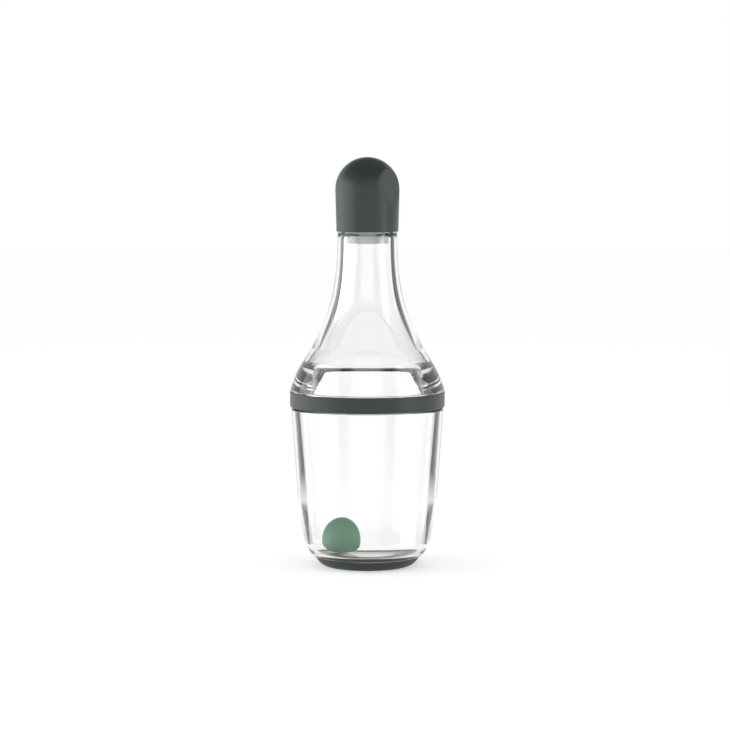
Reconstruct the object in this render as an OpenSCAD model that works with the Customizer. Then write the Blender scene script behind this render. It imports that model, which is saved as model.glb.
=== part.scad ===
// Salad dressing shaker bottle: a clear measuring cup, a clear bell-shaped top that
// screws onto it, a domed twist cap over a pour spout, and a loose mixing ball.
// The bottle stands on z = 0, its front faces -Y and its axis is Z. Millimetres.

/* [Cup] */
// Outer radius of the cup at its rim, just under the band
cup_rim_r = 34.4; // [33.4:0.1:35]
// Height of the cup's rim above the table
cup_rim_z = 71.5; // [66:0.5:78]
// Outer radius where the straight wall starts to curve into the heel
cup_heel_r = 31.45; // [30.8:0.05:32.2]
// Height of that place
cup_heel_z = 29.5; // [26:0.5:34]
// Outer radius of the cup where it meets the foot
cup_base_r = 23.9; // [23.4:0.1:25]
// Length of the curve's handle at the base, which makes the heel fuller
cup_heel_pull = 5.3; // [4.4:0.1:6]
// Thickness of the cup's wall at the rim
cup_wall = 3.4; // [3.1:0.1:3.8]
// Lean of the cup's inner wall from the vertical, in degrees
cup_inner_lean = 4.9; // [4.3:0.1:5.3]
// Thickness of the cup's base above the foot's seat
cup_base_t = 2.4; // [1.8:0.1:4]
// Size of the round corner between the inner wall and the floor
cup_corner = 8; // [5:0.5:10]
// Outer radius of the threaded collar on top of the rim
collar_r = 32.6; // [32.4:0.1:32.9]

/* [Foot] */
// Height of the foot ring's outer edge
foot_h = 4.5; // [3.9:0.1:5.2]
// Thickness of the foot ring under the cup's base
foot_t = 2.4; // [1.8:0.1:3]
// Outer radius of the flat face that stands on the table
foot_flat_r = 18.4; // [17:0.1:19.5]
// Radius of the hole in the middle of the foot
foot_hole_r = 13.5; // [9:0.5:15.5]
// Width of the foot's blunt upper edge
foot_edge = 0.6; // [0.4:0.1:1]
// Number of vent notches in the standing face
notch_count = 3; // [2:1:6]
// Width of a vent notch
notch_w = 2.6; // [1.5:0.1:4]
// Height of a vent notch
notch_h = 0.6; // [0.3:0.1:1]
// Direction of the first notch, in degrees to the right of the front
notch_turn = 21; // [0:1:60]

/* [Mixing ball] */
// Diameter of the ball
ball_d = 17.4; // [14:0.1:19]
// Place of the ball to the left of the axis
ball_left = 11.8; // [6:0.1:12.5]
// Place of the ball behind the axis
ball_back = 3; // [-6:0.5:6]

/* [Band] */
// Outer radius of the grip band
band_r = 34.85; // [34.6:0.05:35.6]
// Height of the band
band_h = 7; // [6.4:0.1:9]
// Thickness of the band
band_wall = 1.35; // [1.2:0.05:1.5]
// Rounding of the band's lower edge
band_round = 0.8; // [0.4:0.1:1]

/* [Bell top] */
// Height of the bell from the band to the shoulder that the cap meets
bell_h = 71.5; // [66:0.5:78]
// Outer radius of the neck under the cap
neck_r = 13.45; // [12.8:0.05:13.8]
// Thickness of the neck's wall
neck_wall = 3.05; // [2.6:0.05:3.2]
// Outer radius at the place where the flare turns into the shoulder
flare_r = 24.9; // [24.2:0.1:25.6]
// Height of that place above the band
flare_z = 20.1; // [18.5:0.1:21.5]
// Lean of the flare from the vertical at that place, in degrees
flare_lean = 24.6; // [23:0.2:27]
// Inner radius of the bell's waist and of its spigot
waist_bore_r = 27.1; // [26.6:0.1:27.6]
// Height of the top of the straight waist bore above the band
waist_bore_z = 9.4; // [8.4:0.1:10.4]
// Outer radius of the spigot that reaches into the cup
spigot_r = 30.6; // [29.8:0.1:30.7]
// Length of the spigot below the band's top
spigot_len = 6.3; // [4:0.1:6.5]
// Outer radius of the threaded finish inside the cap
finish_r = 11.2; // [11:0.05:11.4]
// Bore radius of the finish
finish_bore_r = 9.6; // [9.3:0.05:9.8]
// Height of the finish above the neck's shoulder
finish_h = 11.2; // [9.5:0.1:11.8]

/* [Seals] */
// Thickness of the ring that seals the cup against the bell
gasket_t = 1.8; // [1.2:0.1:2.2]
// Thickness of the ring under the spout's flange
spout_gasket_t = 1; // [0.6:0.1:1.2]
// Thickness of the disc that closes the spout
cap_seal_t = 1.6; // [1:0.1:2]

/* [Pour spout] */
// Thickness of the spout's walls
spout_wall = 1.05; // [0.8:0.05:1.3]
// Thickness of the spout's flange
spout_flange_t = 1; // [0.8:0.1:1.2]
// Height of the spout's lip above its flange
spout_rise = 4; // [3:0.1:4.6]
// Inner radius of the throat
throat_r = 7; // [6:0.1:7.2]
// Outer radius of the pouring lip
spout_lip_r = 9.1; // [8.8:0.1:9.3]
// Length of the spout's skirt below the neck's shoulder
skirt_len = 5; // [2:0.5:8]

/* [Cap] */
// Height of the cap
cap_h = 33.3; // [32.8:0.1:36]
// Outer radius at the cap's open end
cap_mouth_r = 13.9; // [13.7:0.05:14.1]
// Radius of the dome
cap_dome_r = 14.4; // [14.2:0.05:14.8]
// Radius of the threaded space inside the cap
cap_bore_r = 12.3; // [12.15:0.05:12.4]
// Radius of the narrower space inside the dome
cap_crown_r = 10.4; // [10.2:0.05:10.6]
// Direction of the thumb scoop, in degrees to the right of the front
scoop_turn = 57; // [0:1:180]
// Depth of the scoop at its middle, from the cap's widest radius
scoop_depth = 2.3; // [1.6:0.1:2.6]
// Height of the scoop's middle above the cap's open end
scoop_z = 19.45; // [18:0.1:21]
// Lean of the scoop's face from the vertical, in degrees
scoop_lean = 10; // [7:0.5:12]
// Radius of the scoop's hollow curve
scoop_r = 60; // [50:1:90]

/* [Clearances] */
// Gap between two pieces that are fixed to each other
fit_gap = 0.05; // [0.02:0.01:0.08]
// Gap between a seal and the piece that turns on it
turn_gap = 0.06; // [0.03:0.01:0.1]
// Gap between closed pieces that move apart
part_gap = 0.3; // [0.2:0.05:0.35]
// Gap between the resting ball and the floor
ball_gap = 0.1; // [0.05:0.05:0.3]

/* [Hidden] */

$fn = 96;
curve_steps = 12;
bend_steps = 5;

clear_plastic = [0.86, 0.90, 0.90, 0.35];
dark_green = [0.27, 0.31, 0.30];
soft_dark = [0.30, 0.35, 0.33];
sea_green = [0.45, 0.64, 0.52];
pale_silicone = [0.85, 0.87, 0.86];

// Heights, stacked from the table up.
floor_z = foot_t + cup_base_t;
band_z = cup_rim_z + part_gap;
band_top = band_z + band_h;
bell_z = band_top + fit_gap;
shoulder_z = bell_z + bell_h;
finish_top = shoulder_z + finish_h;
flange_z = finish_top + spout_gasket_t + 2 * fit_gap;
flange_top = flange_z + spout_flange_t;
lip_z = flange_top + spout_rise;
cap_z = shoulder_z + part_gap;
cap_top = cap_z + cap_h;
seal_z = lip_z + part_gap;
liner_z = seal_z + cap_seal_t + turn_gap;
gasket_z = bell_z - turn_gap - gasket_t;
collar_top = gasket_z - part_gap;
spigot_z = band_top - spigot_len;
skirt_z = shoulder_z - skirt_len;
bore_top = flange_top + 0.5;

// Radii that follow from the walls.
neck_bore_r = neck_r - neck_wall;
cup_rim_bore_r = cup_rim_r - cup_wall;
band_bore_r = band_r - band_wall;
foot_seat_r = cup_base_r - 3.5;
foot_outer_r = cup_base_r - 0.2;
skirt_r = finish_bore_r - fit_gap;
flange_r = finish_r;
liner_r = cap_crown_r - fit_gap;
liner_rim = 0.7;
liner_t = 1.4;
seal_r = liner_r - liner_rim - turn_gap;
dome_z = cap_top - cap_dome_r;
crown_top = cap_top - 2.5;
crown_z = crown_top - cap_crown_r;

// Point a distance d along a line that leans by angle a from the vertical.
function lean(a, d) = d * [sin(a), cos(a)];

// Cubic curve through p[0] and p[3] with handles p[1] and p[2].
function cubic(p, n = curve_steps) = [
    for (i = [0:n])
        let (t = i / n, s = 1 - t)
        s * s * s * p[0] + 3 * s * s * t * p[1] + 3 * s * t * t * p[2] + t * t * t * p[3]
];

// Round bend from a to b that pulls towards the corner c.
function bend(a, c, b, n = bend_steps) = [
    for (i = [0:n])
        let (t = i / n, s = 1 - t)
        s * s * a + 2 * s * t * c + t * t * b
];

// Inner radius of the cup at height z, above the round corner of the floor.
function cup_bore(z) = cup_rim_bore_r - (cup_rim_z - z) * tan(cup_inner_lean);

// Outer outline of the bell, from the band up to the neck's shoulder.
function bell_outer() = let (
    rim = [band_r, bell_z + 0.3],
    flare = [flare_r, bell_z + flare_z],
    neck = [neck_r, shoulder_z - 0.6]
) concat(
    cubic([rim, rim + lean(-14, 10.8), flare - lean(-flare_lean, 4), flare]),
    cubic([flare, flare + lean(-flare_lean, 15.9), neck - lean(0, 29), neck])
);

// Inner outline of the bell, from the neck's bore down to the waist.
function bell_inner() = let (
    neck = [neck_bore_r, shoulder_z - 1.5],
    waist = [waist_bore_r, bell_z + waist_bore_z],
    turn = waist + lean(0, 2.2),
    flare = turn + lean(-32, 2)
) concat(
    cubic([neck, neck - lean(0, 29.2), flare + lean(-32, 23.7), flare]),
    bend(flare, turn, waist)
);

// Clear measuring cup with its thick wall and threaded collar.
module lower_cup() {
    base = [cup_base_r, foot_h];
    heel = [cup_heel_r, cup_heel_z];
    wall_lean = atan((cup_rim_r - cup_heel_r) / (cup_rim_z - cup_heel_z));
    corner_top = [cup_bore(floor_z + cup_corner), floor_z + cup_corner];
    corner_in = [cup_bore(floor_z), floor_z];
    color(clear_plastic) rotate_extrude() polygon(concat(
        [[0, foot_t], [foot_seat_r, foot_t], [cup_base_r - foot_edge, foot_h]],
        cubic([base, base + lean(77, cup_heel_pull), heel - lean(wall_lean, 1), heel]),
        bend([cup_rim_r - 0.05, cup_rim_z - 0.8], [cup_rim_r, cup_rim_z], [cup_rim_r - 0.8, cup_rim_z]),
        [[collar_r, cup_rim_z], [collar_r, collar_top - 0.4], [collar_r - 0.4, collar_top]],
        [[cup_rim_bore_r, collar_top], [cup_rim_bore_r, cup_rim_z]],
        bend(corner_top, corner_in, corner_in - [cup_corner, 0]),
        [[0, floor_z]]
    ));
}

// Soft ring under the cup, with vent notches in its standing face.
module foot_ring() {
    edge = [foot_outer_r, foot_h - fit_gap];
    flat = [foot_flat_r, 0];
    color(soft_dark) difference() {
        rotate_extrude() polygon(concat(
            [[foot_hole_r, 0.3], [foot_hole_r + 0.3, 0]],
            cubic([flat, flat + [2.2, 0.3], edge - [1.2, 2.4], edge]),
            [[cup_base_r - foot_edge, foot_h - fit_gap], [foot_seat_r, foot_t - fit_gap]],
            [[foot_hole_r, foot_t - fit_gap]]
        ));
        for (i = [0:notch_count - 1])
            rotate(notch_turn - 90 + i * 360 / notch_count)
                translate([foot_hole_r - 1, -notch_w / 2, -1])
                    cube([cup_base_r, notch_w, notch_h + 1]);
    }
}

// Loose ball that mixes the dressing, at rest on the cup's floor.
module shaker_ball() {
    color(sea_green) translate([-ball_left, ball_back, floor_z + ball_gap + ball_d / 2])
        sphere(d = ball_d);
}

// Flat ring on the spigot, which seals on the collar's top.
module joint_gasket() {
    color(pale_silicone) translate([0, 0, gasket_z]) difference() {
        cylinder(r = band_bore_r - part_gap, h = gasket_t);
        translate([0, 0, -1]) cylinder(r = spigot_r + turn_gap, h = gasket_t + 2);
    }
}

// Grip band, fixed under the bell's flange, which screws over the collar.
module middle_band() {
    color(dark_green) rotate_extrude() polygon(concat(
        [[band_bore_r, band_z]],
        bend([band_r - band_round, band_z], [band_r, band_z], [band_r, band_z + band_round]),
        [[band_r, band_top], [band_bore_r, band_top]]
    ));
}

// Clear bell: flange and spigot below, flared wall, neck and threaded finish above.
module upper_body() {
    color(clear_plastic) rotate_extrude() polygon(concat(
        [[spigot_r, bell_z], [band_r - 0.4, bell_z]],
        bell_outer(),
        bend([neck_r, shoulder_z - 0.5], [neck_r, shoulder_z], [neck_r - 0.5, shoulder_z]),
        [[finish_r, shoulder_z], [finish_r, finish_top - 0.3], [finish_r - 0.3, finish_top]],
        [[finish_bore_r, finish_top], [finish_bore_r, shoulder_z - 0.5]],
        bell_inner(),
        [[waist_bore_r, spigot_z], [spigot_r - 0.5, spigot_z], [spigot_r, spigot_z + 0.5]]
    ));
}

// Push-in spout: skirt in the neck, flange on the finish, throat and flared lip.
module pour_spout() {
    skirt_in = skirt_r - spout_wall;
    throat_out = throat_r + spout_wall;
    color(pale_silicone) rotate_extrude() polygon(concat(
        [[skirt_in, skirt_z], [skirt_r - 0.3, skirt_z], [skirt_r, skirt_z + 0.6]],
        [[skirt_r, flange_z], [flange_r, flange_z], [flange_r, flange_top]],
        bend([throat_out + 0.5, flange_top], [throat_out, flange_top], [throat_out, flange_top + 0.5]),
        bend([throat_out, lip_z - 2], [throat_out, lip_z - 0.4], [spout_lip_r, lip_z - 0.3]),
        [[spout_lip_r - 0.2, lip_z], [spout_lip_r - 0.7, lip_z]],
        bend([spout_lip_r - 0.8, lip_z - 0.1], [throat_r, lip_z - 0.6], [throat_r, lip_z - 2.4]),
        bend([throat_r, flange_z + 0.5], [throat_r, flange_z - 1.5], [skirt_in, flange_z - 2.5])
    ));
}

// Thin ring between the spout's flange and the top of the finish.
module spout_gasket() {
    color(soft_dark) translate([0, 0, finish_top + fit_gap]) difference() {
        cylinder(r = flange_r, h = spout_gasket_t);
        translate([0, 0, -1]) cylinder(r = skirt_r + fit_gap, h = spout_gasket_t + 2);
    }
}

// Tool that hollows the thumb scoop out of the cap's side.
module scoop_tool() {
    rotate(scoop_turn - 90)
        translate([cap_dome_r - scoop_depth, 0, cap_z + scoop_z])
            rotate([0, -scoop_lean, 0])
                translate([scoop_r, 0, 0])
                    rotate([90, 0, 0])
                        cylinder(r = scoop_r, h = 3 * cap_dome_r, center = true, $fn = 180);
}

// Domed twist cap with a threaded space, a narrower crown and a thumb scoop.
module cap_shell() {
    outer = [for (i = [0:curve_steps]) let (a = 90 * i / curve_steps) [
        cap_dome_r * cos(a), dome_z + cap_dome_r * sin(a)
    ]];
    inner = [for (i = [curve_steps:-1:0]) let (a = 90 * i / curve_steps) [
        cap_crown_r * cos(a), crown_z + cap_crown_r * sin(a)
    ]];
    color(dark_green) difference() {
        rotate_extrude() polygon(concat(
            [[cap_bore_r, cap_z], [cap_mouth_r - 0.25, cap_z], [cap_mouth_r, cap_z + 0.25]],
            outer,
            inner,
            [[cap_crown_r, bore_top + 0.6], [cap_bore_r - 0.6, bore_top], [cap_bore_r, bore_top - 0.6]]
        ));
        scoop_tool();
    }
}

// Holder pressed into the crown; its rim keeps the seal disc centred.
module cap_liner() {
    color(pale_silicone) translate([0, 0, seal_z + 0.3]) difference() {
        cylinder(r = liner_r, h = liner_z - seal_z - 0.3 + liner_t);
        translate([0, 0, -1]) cylinder(r = liner_r - liner_rim, h = liner_z - seal_z - 0.3 + 1);
    }
}

// Soft disc that closes the spout's lip.
module cap_seal() {
    color(soft_dark) translate([0, 0, seal_z]) cylinder(r = seal_r, h = cap_seal_t);
}

lower_cup();
foot_ring();
shaker_ball();
joint_gasket();
middle_band();
upper_body();
pour_spout();
spout_gasket();
cap_shell();
cap_liner();
cap_seal();
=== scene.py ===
# Looks for a clear salad dressing shaker bottle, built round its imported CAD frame.
# The bottle stands on z = 0, its front faces -Y and its axis is Z. Outlines are drawn in
# millimetres and scaled to metres once they are turned. The threads, the print, the vent
# notches and the cap's inside aren't modelled here.

import math

import bmesh
import bpy
from bpy.props import FloatProperty, FloatVectorProperty, PointerProperty
from mathutils import Matrix, Vector
from mathutils.geometry import interpolate_bezier


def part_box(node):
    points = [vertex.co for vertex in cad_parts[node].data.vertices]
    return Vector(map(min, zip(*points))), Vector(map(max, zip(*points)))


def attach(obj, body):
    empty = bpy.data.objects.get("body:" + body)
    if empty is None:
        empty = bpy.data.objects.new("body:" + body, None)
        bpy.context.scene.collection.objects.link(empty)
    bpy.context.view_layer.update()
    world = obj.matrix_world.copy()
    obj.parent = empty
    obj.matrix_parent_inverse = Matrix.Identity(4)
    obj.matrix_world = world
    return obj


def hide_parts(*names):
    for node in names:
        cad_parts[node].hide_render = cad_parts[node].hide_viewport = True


bl_info = {
    "name": "Dressing shaker looks",
    "version": (1, 0, 0),
    "blender": (4, 5, 0),
    "location": "3D View > Sidebar > Shaker",
    "description": "Models and finishes a clear dressing shaker bottle on its packed frame",
    "category": "Object",
}

MM = 0.001
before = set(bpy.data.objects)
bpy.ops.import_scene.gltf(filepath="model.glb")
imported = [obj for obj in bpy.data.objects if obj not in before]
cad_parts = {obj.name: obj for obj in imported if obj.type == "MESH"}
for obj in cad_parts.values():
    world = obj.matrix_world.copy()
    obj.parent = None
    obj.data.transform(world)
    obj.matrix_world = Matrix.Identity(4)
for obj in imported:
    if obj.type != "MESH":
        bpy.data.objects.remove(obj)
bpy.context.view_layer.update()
CUP, FOOT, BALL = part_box("lower_cup"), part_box("foot_ring"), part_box("shaker_ball")
BAND, BELL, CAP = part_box("middle_band"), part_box("upper_body"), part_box("cap_shell")
# Gaps in millimetres: between fixed pieces, and between pieces that move apart
FIT_GAP, PART_GAP = 0.05, 0.3
# Length of the curve handle that draws a quarter of a circle of radius 1
QUARTER = 0.5523


def linear(code):
    """sRGB hex to linear RGB."""
    parts = [int(code[i : i + 2], 16) / 255 for i in (1, 3, 5)]
    return [c / 12.92 if c <= 0.04045 else ((c + 0.055) / 1.055) ** 2.4 for c in parts]


def size(name, description, millimetres):
    return FloatProperty(
        name=name, description=description, default=millimetres * MM, unit="LENGTH", precision=5
    )


def colour(name, description, code):
    return FloatVectorProperty(
        name=name, description=description, default=linear(code), subtype="COLOR", size=3, min=0, max=1
    )


def angle(name, description, degrees):
    return FloatProperty(name=name, description=description, default=math.radians(degrees), unit="ROTATION")


class CupSizes(bpy.types.PropertyGroup):
    """Sizes of the measuring cup and its foot"""

    wall: size("Wall", "Thickness of the cup's wall at the rim", 3.4)
    wall_lean: angle("Wall lean", "Lean of the outer wall from the vertical", 4.02)
    inner_lean: angle("Inner lean", "Lean of the inner wall from the vertical", 4.9)
    heel_z: size("Heel height", "Height where the straight wall turns into the heel", 29.5)
    heel_pull: size("Heel pull", "Length of the heel curve's handle at the base", 5.3)
    base: size("Base radius", "Outer radius where the cup meets the foot", 23.9)
    seat: size("Seat radius", "Radius of the flat seat on the foot", 20.4)
    base_t: size("Base", "Thickness of the cup's base", 2.4)
    corner: size("Inner corner", "Size of the corner between wall and floor", 8.0)
    collar: size("Collar radius", "Outer radius of the collar above the rim", 32.6)
    foot_hole: size("Foot hole radius", "Radius of the hole in the foot ring", 13.5)
    foot_flat: size("Foot flat radius", "Outer radius of the standing face", 18.4)


class BellSizes(bpy.types.PropertyGroup):
    """Sizes of the bell and its grip band"""

    neck: size("Neck radius", "Outer radius of the neck under the cap", 13.45)
    neck_wall: size("Neck wall", "Thickness of the neck's wall", 3.05)
    flare: size("Flare radius", "Outer radius where the flare turns into the shoulder", 24.9)
    flare_z: size("Flare height", "Height of that place above the band", 20.1)
    flare_lean: angle("Flare lean", "Lean of the flare at that place", 24.6)
    waist: size("Waist bore", "Inner radius of the bell's waist", 27.1)
    waist_z: size("Waist height", "Height of the straight waist bore above the band", 9.4)
    spigot: size("Spigot radius", "Outer radius of the spigot inside the cup", 30.6)
    finish: size("Finish radius", "Outer radius of the finish inside the cap", 11.2)
    finish_bore: size("Finish bore", "Bore radius of the finish", 9.6)
    band_wall: size("Band wall", "Thickness of the grip band", 1.35)


class CapSizes(bpy.types.PropertyGroup):
    """Sizes of the twist cap's outer skin"""

    mouth: size("Mouth radius", "Outer radius at the cap's open end", 13.9)
    bore: size("Bore", "Inner radius at the cap's open end", 12.3)
    scoop_turn: angle("Scoop turn", "Direction of the scoop, to the right of the front", 57)
    scoop_lean: angle("Scoop lean", "Lean of the scoop's face from the vertical", 10)
    scoop_depth: size("Scoop depth", "Depth of the scoop at its middle", 2.3)
    scoop_z: size("Scoop height", "Height of the scoop's middle above the open end", 19.45)
    scoop_r: size("Scoop curve", "Radius of the scoop's hollow curve", 60)
    scoop_edge: size("Scoop edge", "Softness of the scoop's rim", 0.55)


class Colours(bpy.types.PropertyGroup):
    """Colours of the bottle and the floor"""

    clear: colour("Clear plastic", "Tint of the clear cup and bell", "#FDFEFD")
    cap: colour("Cap and band", "Dark grey-green of the cap and the band", "#2F3A38")
    foot: colour("Foot", "Dark soft ring under the cup", "#303937")
    ball: colour("Ball", "Green of the mixing ball", "#63A581")
    floor: colour("Floor", "Pale table", "#EDEEEC")


def pick(context):
    return context.scene.shaker


def add(tree, kind, values=None, links=None, **settings):
    """Adds a node, sets its settings and socket values, and links its sockets."""
    made = tree.nodes.new(kind)
    for key, value in settings.items():
        setattr(made, key, value)
    for key, value in (values or {}).items():
        made.inputs[key].default_value = value
    for key, source in (links or {}).items():
        tree.links.new(source, made.inputs[key])
    return made


def material(name, build):
    """A node material whose surface is what build returns."""
    made = bpy.data.materials.get(name)
    if made is None:
        made = bpy.data.materials.new(name)
        made.use_nodes = True
        tree = made.node_tree
        tree.nodes.clear()
        surface = build(tree)
        add(tree, "ShaderNodeOutputMaterial", links={"Surface": surface})
    return made


def grain(tree, spacing, depth):
    """Fine even bump whose grains lie spacing apart, as a spark-eroded mould leaves."""
    place = add(tree, "ShaderNodeTexCoord").outputs["Object"]
    noise = add(
        tree, "ShaderNodeTexNoise", {"Scale": 1 / spacing, "Detail": 2.0, "Roughness": 0.6}, {"Vector": place}
    )
    bump = add(tree, "ShaderNodeBump", {"Strength": 1.0, "Distance": depth}, {"Height": noise.outputs["Fac"]})
    return noise.outputs["Fac"], bump.outputs["Normal"]


def shade(tree, base, swing, spacing):
    """Base colour that drifts by a few percent over patches spacing wide."""
    place = add(tree, "ShaderNodeTexCoord").outputs["Object"]
    noise = add(tree, "ShaderNodeTexNoise", {"Scale": 1 / spacing, "Detail": 3.0}, {"Vector": place})
    mix = add(tree, "ShaderNodeMix", {}, {"Factor": noise.outputs["Fac"]}, data_type="RGBA")
    mix.inputs["A"].default_value = [*(c * (1 - swing) for c in base), 1]
    mix.inputs["B"].default_value = [*(c * (1 + swing) for c in base), 1]
    return mix.outputs["Result"]


# Copolyester, injection moulded in a polished mould: clear, glossy, with a long faint
# waviness where the melt shrank.
def clear_copolyester(tree, tint):
    place = add(tree, "ShaderNodeTexCoord").outputs["Object"]
    wave = add(tree, "ShaderNodeTexNoise", {"Scale": 1 / 0.016, "Detail": 1.0}, {"Vector": place})
    bump = add(tree, "ShaderNodeBump", {"Strength": 1.0, "Distance": 0.00002}, {"Height": wave.outputs["Fac"]})
    return add(
        tree,
        "ShaderNodeBsdfPrincipled",
        {"Base Color": (*tint, 1), "Transmission Weight": 1.0, "IOR": 1.56, "Roughness": 0.0},
        {"Normal": bump.outputs["Normal"]},
    ).outputs["BSDF"]


# Polypropylene, moulded in a lightly textured mould: dark, satin, with a broad soft shine.
def satin_polypropylene(tree, base):
    fac, normal = grain(tree, 0.00045, 0.000006)
    rough = add(tree, "ShaderNodeMapRange", {"To Min": 0.34, "To Max": 0.44}, {"Value": fac})
    return add(
        tree,
        "ShaderNodeBsdfPrincipled",
        {"IOR": 1.49},
        {"Base Color": shade(tree, base, 0.06, 0.02), "Roughness": rough.outputs["Result"], "Normal": normal},
    ).outputs["BSDF"]


# Thermoplastic rubber, moulded over the cup's base: dark and soft, with little shine.
def moulded_rubber(tree, base):
    fac, normal = grain(tree, 0.0006, 0.00001)
    rough = add(tree, "ShaderNodeMapRange", {"To Min": 0.46, "To Max": 0.6}, {"Value": fac})
    return add(
        tree,
        "ShaderNodeBsdfPrincipled",
        {"IOR": 1.5},
        {"Base Color": shade(tree, base, 0.05, 0.012), "Roughness": rough.outputs["Result"], "Normal": normal},
    ).outputs["BSDF"]


# Silicone, compression moulded: soft satin skin with light that spreads a little inside it.
def cast_silicone(tree, base, depth):
    fac, normal = grain(tree, 0.0007, 0.000012)
    rough = add(tree, "ShaderNodeMapRange", {"To Min": 0.4, "To Max": 0.52}, {"Value": fac})
    return add(
        tree,
        "ShaderNodeBsdfPrincipled",
        {
            "IOR": 1.42,
            "Subsurface Weight": 0.35,
            "Subsurface Radius": (0.6, 1.0, 0.75),
            "Subsurface Scale": depth,
        },
        {"Base Color": shade(tree, base, 0.04, 0.006), "Roughness": rough.outputs["Result"], "Normal": normal},
    ).outputs["BSDF"]


def wire(bm, points, closed):
    """Draws an outline in the XZ plane. A point is (r, z) or (r, z, {...}) with the keys
    round, the size of its corner, go and come, its curve handles out and in, and rows,
    the number of equal steps to the next point."""
    chain, corners = [], []
    count = len(points)
    for i, (r, z, *more) in enumerate(points):
        here = more[0] if more else {}
        if i == count - 1 and not closed:
            chain.append(Vector((r, 0, z)))
            break
        r2, z2, *more2 = points[(i + 1) % count]
        there = more2[0] if more2 else {}
        a, b = Vector((r, 0, z)), Vector((r2, 0, z2))
        if "round" in here:
            corners.append((a, here["round"]))
        if "go" in here or "come" in there:
            out, back = here.get("go"), there.get("come")
            h1 = a + Vector((out[0], 0, out[1])) if out else a.lerp(b, 1 / 3)
            h2 = b + Vector((back[0], 0, back[1])) if back else b.lerp(a, 1 / 3)
            chain += interpolate_bezier(a, h1, h2, b, here.get("rows", 40) + 1)[:-1]
            continue
        reach = (b - a).length
        first, last = here.get("round", 0) + 0.12, there.get("round", 0) + 0.12
        steps = [0.0]
        if reach > first + last + 0.1:
            rows = here.get("rows", 1)
            span = reach - first - last
            steps += [first + span * k / rows for k in range(rows + 1)]
        chain += [a.lerp(b, s / reach) for s in steps]
    verts = [bm.verts.new(p) for p in chain]
    for one, two in zip(verts, verts[1:]):
        bm.edges.new((one, two))
    if closed:
        bm.edges.new((verts[-1], verts[0]))
    for place, amount in corners:
        at = min(bm.verts, key=lambda v: (v.co - place).length)
        bmesh.ops.bevel(
            bm, geom=[at], offset=amount, offset_type="OFFSET", segments=5, profile=0.5,
            affect="VERTICES", material=-1,
        )


def turned(points, closed=True, steps=256):
    """A bmesh of the outline spun round the bottle's axis, in millimetres. A sixteenth is
    spun, and is doubled four times, which is quicker than one full spin."""
    bm = bmesh.new()
    wire(bm, points, closed)
    part = math.tau / 16
    bmesh.ops.spin(
        bm, geom=bm.verts[:] + bm.edges[:], cent=(0, 0, 0), axis=(0, 0, 1), dvec=(0, 0, 0),
        angle=part, steps=steps // 16, use_merge=False, use_duplicate=False,
    )
    for _ in range(4):
        copied = bmesh.ops.duplicate(bm, geom=bm.verts[:] + bm.edges[:] + bm.faces[:])["geom"]
        fresh = [item for item in copied if isinstance(item, bmesh.types.BMVert)]
        bmesh.ops.rotate(bm, cent=(0, 0, 0), matrix=Matrix.Rotation(part, 3, "Z"), verts=fresh)
        part *= 2
    bmesh.ops.remove_doubles(bm, verts=bm.verts, dist=0.0001)
    bmesh.ops.recalc_face_normals(bm, faces=bm.faces)
    return bm


def finish_piece(bm, name, body, node, look):
    """Turns a bmesh in millimetres into a smooth object that rides on a body."""
    bmesh.ops.scale(bm, vec=(MM, MM, MM), verts=bm.verts)
    mesh = bpy.data.meshes.new(name)
    bm.to_mesh(mesh)
    bm.free()
    mesh.shade_smooth()
    mesh.materials.append(look)
    piece = bpy.data.objects.new(name, mesh)
    bpy.context.scene.collection.objects.link(piece)
    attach(piece, body)
    if node:
        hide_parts(node)
    return piece


def leaning(a, length):
    """A handle of that length that leans by angle a from the vertical."""
    return (length * math.sin(a), length * math.cos(a))


def in_mm(group):
    """The group's lengths in millimetres and its angles in radians."""
    out = {}
    for key in group.__annotations__:
        value = getattr(group, key)
        unit = group.bl_rna.properties[key].unit
        out[key] = value / MM if unit == "LENGTH" else value
    return out


class SHAKER_OT_cup(bpy.types.Operator):
    """Clear measuring cup with its thick wall and its collar"""

    bl_idname = "shaker.cup"
    bl_label = "Measuring cup"

    def execute(self, context):
        all_sizes = pick(context)
        c = in_mm(all_sizes.cup)
        rim_r = CUP[1].x / MM
        low, top, rim_z = CUP[0].z / MM, CUP[1].z / MM, BAND[0].z / MM - PART_GAP
        foot_h, floor = FOOT[1].z / MM + FIT_GAP, low + c["base_t"]
        heel_r = rim_r - (rim_z - c["heel_z"]) * math.tan(c["wall_lean"])
        bore = rim_r - c["wall"]

        def inner(z):
            return bore - (rim_z - z) * math.tan(c["inner_lean"])

        corner_z = floor + c["corner"]
        pull = 2 / 3
        bm = turned(
            [
                (0, low),
                (c["seat"], low, {"round": 0.3}),
                (c["base"] - 0.6, foot_h, {"round": 0.15}),
                (c["base"], foot_h, {"go": leaning(math.radians(77), c["heel_pull"]), "rows": 64}),
                (heel_r, c["heel_z"], {"come": leaning(c["wall_lean"], -1.0), "rows": 30}),
                (rim_r, rim_z, {"round": 0.8}),
                (c["collar"], rim_z, {"round": 0.25, "rows": 1}),
                (c["collar"], top, {"round": 0.4}),
                (bore, top, {"round": 0.3}),
                (bore, rim_z, {"rows": 30}),
                (
                    inner(corner_z),
                    corner_z,
                    {"go": (pull * (inner(floor) - inner(corner_z)), -pull * c["corner"]), "rows": 40},
                ),
                (inner(floor) - c["corner"], floor, {"come": (pull * c["corner"], 0), "rows": 4}),
                (0, floor),
            ],
            closed=False,
            steps=256,
        )
        look = material("Clear copolyester", lambda tree: clear_copolyester(tree, all_sizes.colours.clear))
        finish_piece(bm, "measuring_cup", "cup", "lower_cup", look)
        return {"FINISHED"}


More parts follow.
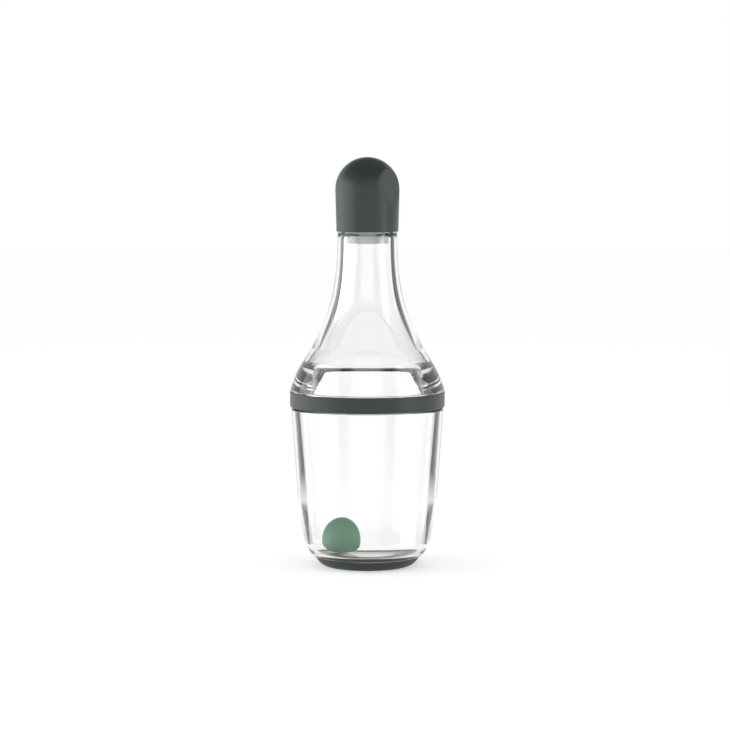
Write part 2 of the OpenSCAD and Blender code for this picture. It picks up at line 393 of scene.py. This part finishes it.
class SHAKER_OT_foot(bpy.types.Operator):
    """Dark rubber ring under the cup, open in the middle"""

    bl_idname = "shaker.foot"
    bl_label = "Foot ring"

    def execute(self, context):
        all_sizes = pick(context)
        c = in_mm(all_sizes.cup)
        foot_h, seat = FOOT[1].z / MM + FIT_GAP, CUP[0].z / MM
        hole, flat = c["foot_hole"], c["foot_flat"]
        edge = c["base"] - 0.2
        touch = 0.02  # the rubber is moulded onto the plastic, so no air lies between them
        bm = turned(
            [
                (hole, seat + touch, {"round": 0.2}),
                (hole, 0, {"round": 0.3}),
                (flat, 0, {"go": (2.2, 0.3), "rows": 30}),
                (edge, foot_h - FIT_GAP, {"come": (-1.2, -2.4), "round": 0.1}),
                (c["base"] - 0.6, foot_h + touch),
                (c["seat"], seat + touch),
            ],
            steps=256,
        )
        look = material("Overmoulded rubber", lambda tree: moulded_rubber(tree, all_sizes.colours.foot))
        finish_piece(bm, "rubber_foot", "cup", "foot_ring", look)
        return {"FINISHED"}


class SHAKER_OT_ball(bpy.types.Operator):
    """Loose green mixing ball with the fine seam of its mould"""

    bl_idname = "shaker.ball"
    bl_label = "Mixing ball"

    def execute(self, context):
        radius = (BALL[1].x - BALL[0].x) / 2 / MM
        curve = QUARTER * radius
        seam = 0.06  # how far the seam stands out
        rise = 0.14  # half its height
        bm = turned(
            [
                (0, -radius, {"go": (curve, 0), "rows": 30}),
                (radius - seam, -rise, {"come": (0, -curve)}),
                (radius, 0, {"round": 0.06}),
                (radius - seam, rise, {"go": (0, curve), "rows": 30}),
                (0, radius, {"come": (curve, 0)}),
            ],
            closed=False,
            steps=96,
        )
        middle = (BALL[0] + BALL[1]) / 2 / MM
        lean, roll = Matrix.Rotation(math.radians(64), 4, "Y"), Matrix.Rotation(0.5, 4, "X")
        tilt = Matrix.Translation(middle) @ lean @ roll
        bmesh.ops.transform(bm, matrix=tilt, verts=bm.verts)
        green = pick(context).colours.ball
        look = material("Green silicone", lambda tree: cast_silicone(tree, green, 0.002))
        finish_piece(bm, "mixing_ball", "ball", "shaker_ball", look)
        return {"FINISHED"}


class SHAKER_OT_band(bpy.types.Operator):
    """Dark grip band, fixed under the bell's flange"""

    bl_idname = "shaker.band"
    bl_label = "Grip band"

    def execute(self, context):
        all_sizes = pick(context)
        b = in_mm(all_sizes.bell)
        r, low, high = BAND[1].x / MM, BAND[0].z / MM, BAND[1].z / MM
        bore = r - b["band_wall"]
        bm = turned(
            [
                (bore, low, {"round": 0.2}),
                (r, low, {"round": 0.8}),
                (r, high, {"round": 0.15}),
                (bore, high, {"round": 0.1}),
            ],
            steps=256,
        )
        look = material("Satin polypropylene", lambda tree: satin_polypropylene(tree, all_sizes.colours.cap))
        finish_piece(bm, "grip_band", "bell", "middle_band", look)
        return {"FINISHED"}


class SHAKER_OT_bell(bpy.types.Operator):
    """Clear bell: spigot and heavy shoulder, flared wall, neck and finish"""

    bl_idname = "shaker.bell"
    bl_label = "Bell"

    def execute(self, context):
        all_sizes = pick(context)
        b = in_mm(all_sizes.bell)
        r, low, top = BELL[1].x / MM, BELL[0].z / MM, BELL[1].z / MM
        base, shoulder = BAND[1].z / MM + FIT_GAP, CAP[0].z / MM - PART_GAP
        lean, flare_z = b["flare_lean"], base + b["flare_z"]
        neck_bore = b["neck"] - b["neck_wall"]
        waist_top = base + b["waist_z"]
        inner_lean = math.radians(-32)
        knee = 2.2
        step = leaning(inner_lean, 2.0)
        turn = (b["waist"] + step[0], waist_top + knee + step[1])
        bm = turned(
            [
                (b["spigot"], base, {"round": 0.2}),
                (r - 0.4, base),
                (r, base + 0.3, {"go": leaning(math.radians(-14), 10.8), "rows": 48}),
                (
                    b["flare"],
                    flare_z,
                    {"come": leaning(-lean, -4.0), "go": leaning(-lean, 15.9), "rows": 72},
                ),
                (b["neck"], shoulder - 0.6, {"come": (0, -29.0)}),
                (b["neck"], shoulder, {"round": 0.4}),
                (b["finish"], shoulder, {"round": 0.3, "rows": 1}),
                (b["finish"], top, {"round": 0.3}),
                (b["finish_bore"], top, {"round": 0.2}),
                (b["finish_bore"], shoulder - 0.5, {"round": 0.2}),
                (neck_bore, shoulder - 1.5, {"go": (0, -29.2), "rows": 72}),
                (
                    *turn,
                    {
                        "come": leaning(inner_lean, 23.7),
                        "go": (-step[0] * 0.66, -step[1] * 0.66),
                        "rows": 24,
                    },
                ),
                (b["waist"], waist_top, {"come": (0, knee * 0.66), "rows": 6}),
                (b["waist"], low, {"round": 0.4}),
                (b["spigot"], low, {"round": 0.5}),
            ],
            steps=256,
        )
        look = material("Clear copolyester", lambda tree: clear_copolyester(tree, all_sizes.colours.clear))
        finish_piece(bm, "clear_bell", "bell", "upper_body", look)
        return {"FINISHED"}


class SHAKER_OT_cap(bpy.types.Operator):
    """Outer skin of the domed twist cap, with a softly rimmed thumb scoop"""

    bl_idname = "shaker.cap"
    bl_label = "Twist cap"

    def execute(self, context):
        all_sizes = pick(context)
        c = in_mm(all_sizes.cap)
        dome, low, top = -CAP[0].x / MM, CAP[0].z / MM, CAP[1].z / MM
        dome_z = top - dome
        bm = turned(
            [
                (c["bore"], low, {"round": 0.2}),
                (c["mouth"], low, {"round": 0.25, "rows": 60}),
                (dome, dome_z, {"go": (0, QUARTER * dome), "rows": 72}),
                (0, top, {"come": (QUARTER * dome, 0)}),
            ],
            closed=False,
            steps=256,
        )
        turn = c["scoop_turn"] - math.pi / 2
        place = Vector((dome - c["scoop_depth"], 0, low + c["scoop_z"]))
        tip = Matrix.Rotation(-c["scoop_lean"], 4, "Y")
        to_scoop = Matrix.Rotation(turn, 4, "Z") @ Matrix.Translation(place) @ tip
        from_scoop = to_scoop.inverted()
        hollow, edge = c["scoop_r"], c["scoop_edge"]
        for v in bm.verts:
            p = from_scoop @ v.co
            if p.x < -2 * edge or abs(p.z) > hollow * 0.5:
                continue
            past = p.x - (hollow - math.sqrt(hollow * hollow - p.z * p.z))
            share = min(max(0.5 - 0.5 * past / edge, 0.0), 1.0)
            p.x += past * (share - 1) - edge * share * (1 - share)
            v.co = to_scoop @ p
        bmesh.ops.recalc_face_normals(bm, faces=bm.faces)
        look = material("Satin polypropylene", lambda tree: satin_polypropylene(tree, all_sizes.colours.cap))
        finish_piece(bm, "twist_cap", "cap", "cap_shell", look)
        return {"FINISHED"}


class SHAKER_OT_stage(bpy.types.Operator):
    """White floor and surround, two soft lamps and the camera"""

    bl_idname = "shaker.stage"
    bl_label = "Stage"

    def execute(self, context):
        scene = context.scene
        scene.view_settings.view_transform = "Standard"

        camera = bpy.data.objects.new("Camera", bpy.data.cameras.new("Camera"))
        camera.data.lens, camera.data.sensor_width = 124.25, 36
        camera.data.clip_start, camera.data.clip_end = 0.01, 20
        camera.location = (-0.00108, -1.130, 0.18365)
        camera.rotation_euler = (math.radians(90 - 4.705), 0, 0)
        scene.collection.objects.link(camera)
        scene.camera = camera

        bm = bmesh.new()
        bmesh.ops.create_circle(bm, cap_ends=True, radius=4.0, segments=96)
        mesh = bpy.data.meshes.new("floor")
        bm.to_mesh(mesh)
        bm.free()
        floor = bpy.data.objects.new("floor", mesh)
        scene.collection.objects.link(floor)
        tone = pick(context).colours.floor
        mesh.materials.append(material("White table", lambda tree: white_table(tree, tone)))

        world = bpy.data.worlds.new("Studio")
        scene.world = world
        world.use_nodes = True
        tree = world.node_tree
        tree.nodes.clear()
        studio(tree)

        for name, spot, wide, tall, power in (
            ("Left softbox", (-0.70, -0.03, 0.23), 0.98, 0.44, 2.2),
            ("Right strip", (0.624, -0.318, 0.30), 0.15, 0.58, 0.9),
        ):
            lamp = bpy.data.lights.new(name, "AREA")
            lamp.shape, lamp.size, lamp.size_y, lamp.energy = "RECTANGLE", wide, tall, power
            holder = bpy.data.objects.new(name, lamp)
            holder.location = spot
            aim = Vector((0, 0, spot[2])) - Vector(spot)
            holder.rotation_euler = aim.to_track_quat("-Z", "Y").to_euler()
            holder.visible_camera = False
            scene.collection.objects.link(holder)
        return {"FINISHED"}


def outside_painted_dark_wedges(tree, x, y):
    """1 towards the four open sides, 0 towards the four wedges between them, where the table and the surround
    are painted dark for light piped inside a clear wall, a painted dark reflection.
    """
    turn = add(tree, "ShaderNodeMath", {}, {0: x, 1: y}, operation="ARCTAN2")
    four = add(tree, "ShaderNodeMath", {1: 4.0}, {0: turn.outputs[0]}, operation="MULTIPLY")
    wave = add(tree, "ShaderNodeMath", {}, {0: four.outputs[0]}, operation="COSINE")
    return add(
        tree, "ShaderNodeMapRange", {"From Min": -0.75, "From Max": -0.2}, {"Value": wave.outputs[0]}
    ).outputs["Result"]


def piped(tree, path):
    """1 for light that was turned back inside a clear wall before it left it."""
    turned_back = add(
        tree, "ShaderNodeMath", {1: 0.5}, {0: path.outputs["Glossy Depth"]}, operation="GREATER_THAN"
    )
    went_in = add(
        tree, "ShaderNodeMath", {1: 0.5}, {0: path.outputs["Transmission Depth"]}, operation="GREATER_THAN"
    )
    return add(
        tree, "ShaderNodeMath", {}, {0: turned_back.outputs[0], 1: went_in.outputs[0]}, operation="MULTIPLY"
    ).outputs[0]


def seen(tree, path):
    """1 for rays that show the surround itself, directly, in gloss or through the plastic."""
    total = add(
        tree,
        "ShaderNodeMath",
        {},
        {0: path.outputs["Is Camera Ray"], 1: path.outputs["Is Glossy Ray"]},
        operation="MAXIMUM",
    )
    return add(
        tree,
        "ShaderNodeMath",
        {},
        {0: total.outputs[0], 1: path.outputs["Is Transmission Ray"]},
        operation="MAXIMUM",
    ).outputs[0]


# White laminate table, satin: pale, keeps the bottle's soft shadow. For light piped inside a clear wall, far
# wedges of it are painted near black, a painted dark reflection that draws dark lines in the clear plastic.
def white_table(tree, tone):
    path = add(tree, "ShaderNodeLightPath")
    place = add(tree, "ShaderNodeTexCoord").outputs["Object"]
    axes = add(tree, "ShaderNodeSeparateXYZ", {}, {"Vector": place})
    far = add(tree, "ShaderNodeVectorMath", {}, {0: place}, operation="LENGTH")
    away = add(
        tree, "ShaderNodeMapRange", {"From Min": 0.12, "From Max": 0.22}, {"Value": far.outputs["Value"]}
    ).outputs["Result"]
    # Painted dark reflection: far out in the four wedges, light piped inside a clear wall sees the table near
    # black.
    unpainted_side = outside_painted_dark_wedges(tree, axes.outputs["X"], axes.outputs["Y"])
    painted_dark_side = add(tree, "ShaderNodeMath", {0: 1.0}, {1: unpainted_side}, operation="SUBTRACT").outputs[0]
    dark = add(tree, "ShaderNodeMath", {}, {0: painted_dark_side, 1: away}, operation="MULTIPLY").outputs[0]
    dark = add(tree, "ShaderNodeMath", {}, {0: dark, 1: piped(tree, path)}, operation="MULTIPLY").outputs[0]
    table = add(tree, "ShaderNodeBsdfDiffuse", {"Color": (*tone, 1)}).outputs["BSDF"]
    lift = add(tree, "ShaderNodeMath", {1: 0.46}, {0: seen(tree, path)}, operation="MULTIPLY").outputs[0]
    glow = add(tree, "ShaderNodeEmission", {"Color": (1, 1, 1, 1)}, {"Strength": lift}).outputs["Emission"]
    lit = add(tree, "ShaderNodeAddShader", {}, {0: table, 1: glow}).outputs[0]
    # Near-black glow that paints the table dark in those wedges for piped light, a painted dark reflection.
    painted_dark_floor = add(tree, "ShaderNodeEmission", {"Color": (1, 1, 1, 1), "Strength": 0.06}).outputs["Emission"]
    return add(tree, "ShaderNodeMixShader", {}, {0: dark, 1: lit, 2: painted_dark_floor}).outputs[0]


def studio(tree):
    """White surround up to head height, a dark ceiling in gloss, plain light for the rest, and painted dark
    wedges that only light piped inside a clear wall sees, a painted dark reflection.
    """
    path = add(tree, "ShaderNodeLightPath")
    ray = add(tree, "ShaderNodeTexCoord").outputs["Generated"]
    axes = add(tree, "ShaderNodeSeparateXYZ", {}, {"Vector": ray})
    ceiling = add(
        tree,
        "ShaderNodeMapRange",
        {"From Min": 0.35, "From Max": 0.6, "To Min": 1.0, "To Max": 0.2},
        {"Value": axes.outputs["Z"]},
    ).outputs["Result"]
    white = add(
        tree, "ShaderNodeMath", {}, {0: ceiling, 1: path.outputs["Is Camera Ray"]}, operation="MAXIMUM"
    ).outputs[0]
    # Painted dark reflection: light piped inside a clear wall sees the surround dark in four wedges, which
    # draws dark lines in the clear plastic.
    unpainted_side = outside_painted_dark_wedges(tree, axes.outputs["X"], axes.outputs["Y"])
    painted_dark_level = add(
        tree, "ShaderNodeMapRange", {"To Min": 0.06, "To Max": 1.0}, {"Value": unpainted_side}
    ).outputs["Result"]
    # The painted dark level, used only for piped light.
    edge = add(tree, "ShaderNodeMix", {"A": 1.0}, {"Factor": piped(tree, path), "B": painted_dark_level}, data_type="FLOAT")
    shown = add(
        tree, "ShaderNodeMath", {}, {0: white, 1: edge.outputs["Result"]}, operation="MULTIPLY"
    ).outputs[0]
    level = add(tree, "ShaderNodeMix", {"A": 0.62}, {"Factor": seen(tree, path), "B": shown}, data_type="FLOAT")
    back = add(tree, "ShaderNodeBackground", {"Color": (1, 1, 1, 1)}, {"Strength": level.outputs["Result"]})
    add(tree, "ShaderNodeOutputWorld", {}, {"Surface": back.outputs["Background"]})


class ShakerSettings(bpy.types.PropertyGroup):
    """All sizes and colours of the bottle"""

    cup: PointerProperty(type=CupSizes)
    bell: PointerProperty(type=BellSizes)
    cap: PointerProperty(type=CapSizes)
    colours: PointerProperty(type=Colours)


STEPS = (
    SHAKER_OT_cup,
    SHAKER_OT_foot,
    SHAKER_OT_ball,
    SHAKER_OT_band,
    SHAKER_OT_bell,
    SHAKER_OT_cap,
    SHAKER_OT_stage,
)


class SHAKER_PT_panel(bpy.types.Panel):
    """Lists the steps that build the bottle"""

    bl_label = "Dressing shaker"
    bl_idname = "SHAKER_PT_panel"
    bl_space_type = "VIEW_3D"
    bl_region_type = "UI"
    bl_category = "Shaker"

    def draw(self, context):
        for step in STEPS:
            self.layout.operator(step.bl_idname)


CLASSES = (
    CupSizes,
    BellSizes,
    CapSizes,
    Colours,
    ShakerSettings,
    *STEPS,
    SHAKER_PT_panel,
)


def register():
    for one in CLASSES:
        bpy.utils.register_class(one)
    bpy.types.Scene.shaker = PointerProperty(type=ShakerSettings)


def unregister():
    del bpy.types.Scene.shaker
    for one in reversed(CLASSES):
        bpy.utils.unregister_class(one)


def main():
    register()
    for step in STEPS:
        group, name = step.bl_idname.split(".")
        if getattr(getattr(bpy.ops, group), name)() != {"FINISHED"}:
            raise RuntimeError(step.bl_label + " was not built")


if __name__ == "__main__":
    main()
